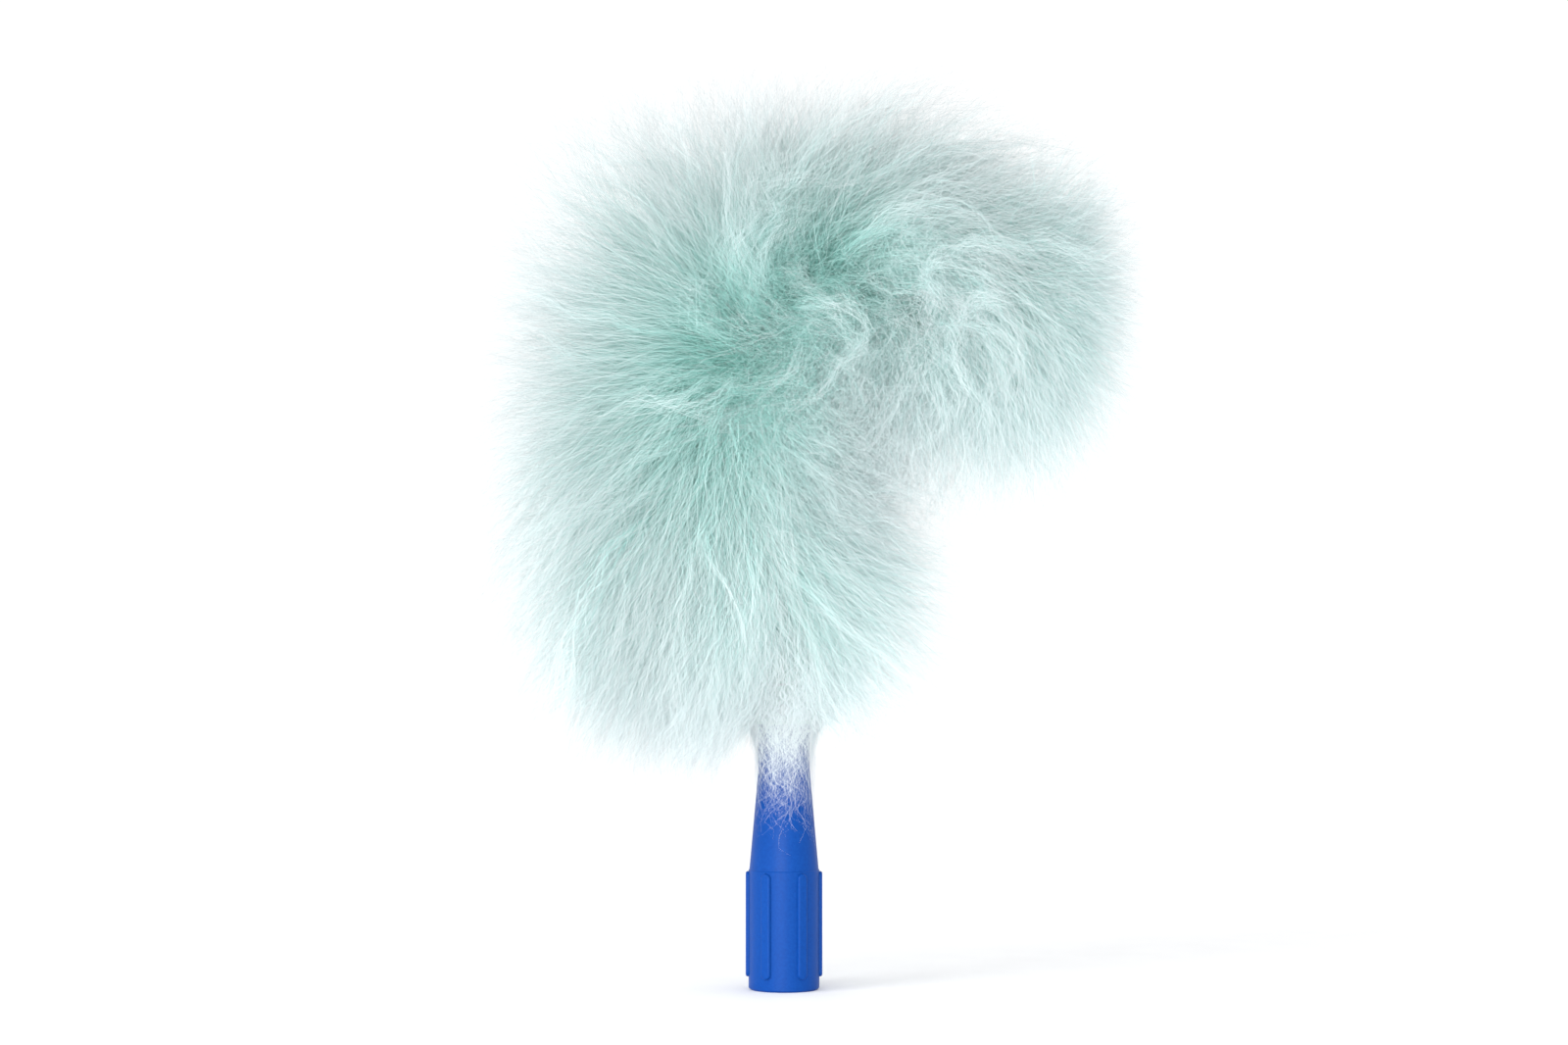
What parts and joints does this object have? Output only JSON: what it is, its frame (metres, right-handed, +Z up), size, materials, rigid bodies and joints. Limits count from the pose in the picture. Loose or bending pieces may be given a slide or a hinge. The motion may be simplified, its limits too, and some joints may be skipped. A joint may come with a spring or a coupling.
{
  "type": "bendable wool duster head",
  "caption": "Bendable duster head: long wavy wool pile on a core that bends into a crook, on a ribbed, tapered plastic socket that screws onto a pole.",
  "frame": {"origin": "middle of the socket's open end, on the pole's axis, in the plane the head stands on", "axes": "+Z up along the socket's axis into the wool; +X the way the crook points; the head bends in the XZ plane; -Y is the side the picture shows"},
  "size_m": [0.2881, 0.16, 0.4076],
  "materials": {
    "blue_plastic": "satin",
    "plain_plastic": "matte",
    "steel_rod": "satin",
    "foam_sleeve": "matte",
    "hide": "matte",
    "wool_pile": "matte"
  },
  "bodies": {
    "socket": {"pole_socket": "blue_plastic", "core_plug": "plain_plastic", "core_rod_0": "steel_rod", "cross_pin": "steel_rod", "hide_0": "hide", "pile_0": "wool_pile"},
    "link_1": {"core_rod_1": "steel_rod", "core_sleeve_1": "foam_sleeve", "hide_1": "hide", "pile_1": "wool_pile"},
    "link_2": {"core_rod_2": "steel_rod", "core_sleeve_2": "foam_sleeve", "hide_2": "hide", "pile_2": "wool_pile"},
    "link_3": {"core_rod_3": "steel_rod", "core_sleeve_3": "foam_sleeve", "hide_3": "hide", "pile_3": "wool_pile"},
    "link_4": {"core_rod_4": "steel_rod", "core_sleeve_4": "foam_sleeve", "hide_4": "hide", "pile_4": "wool_pile"},
    "link_5": {"core_rod_5": "steel_rod", "core_sleeve_5": "foam_sleeve", "hide_5": "hide", "pile_5": "wool_pile"},
    "link_6": {"core_rod_6": "steel_rod", "core_sleeve_6": "foam_sleeve", "hide_6": "hide", "pile_6": "wool_pile"},
    "link_7": {"core_rod_7": "steel_rod", "core_sleeve_7": "foam_sleeve", "hide_7": "hide", "pile_7": "wool_pile", "end_plug": "plain_plastic", "hide_tip": "hide"}
  },
  "joints": [
    {"name": "neck_bend_1", "type": "hinge", "parent": "socket", "child": "link_1", "pos_m": [0, 0, 0.138], "axis": [0, 1, 0], "range_deg": [-15, 15]},
    {"name": "neck_bend_2", "type": "hinge", "parent": "link_1", "child": "link_2", "pos_m": [-0.01087, 0, 0.17857], "axis": [0, 1, 0], "range_deg": [-15, 15]},
    {"name": "crook_bend_1", "type": "hinge", "parent": "link_2", "child": "link_3", "pos_m": [-0.02728, 0, 0.21723], "axis": [0, 1, 0], "range_deg": [-15.01, 2.09]},
    {"name": "crook_bend_2", "type": "hinge", "parent": "link_3", "child": "link_4", "pos_m": [-0.03313, 0, 0.25882], "axis": [0, 1, 0], "range_deg": [-32.01, 4.45]},
    {"name": "crook_bend_3", "type": "hinge", "parent": "link_4", "child": "link_5", "pos_m": [-0.01604, 0, 0.29719], "axis": [0, 1, 0], "range_deg": [-36, 5]},
    {"name": "crook_bend_4", "type": "hinge", "parent": "link_5", "child": "link_6", "pos_m": [0.02033, 0, 0.31819], "axis": [0, 1, 0], "range_deg": [-28.01, 3.9]},
    {"name": "crook_bend_5", "type": "hinge", "parent": "link_6", "child": "link_7", "pos_m": [0.0623, 0, 0.31966], "axis": [0, 1, 0], "range_deg": [-18.01, 2.51]}
  ],
  "couplings": [
    {"joint": "neck_bend_2", "follows": "neck_bend_1", "ratio": 1},
    {"joint": "crook_bend_1", "follows": "crook_bend_3", "ratio": 0.41667},
    {"joint": "crook_bend_2", "follows": "crook_bend_3", "ratio": 0.88889},
    {"joint": "crook_bend_4", "follows": "crook_bend_3", "ratio": 0.77778},
    {"joint": "crook_bend_5", "follows": "crook_bend_3", "ratio": 0.5}
  ]
}
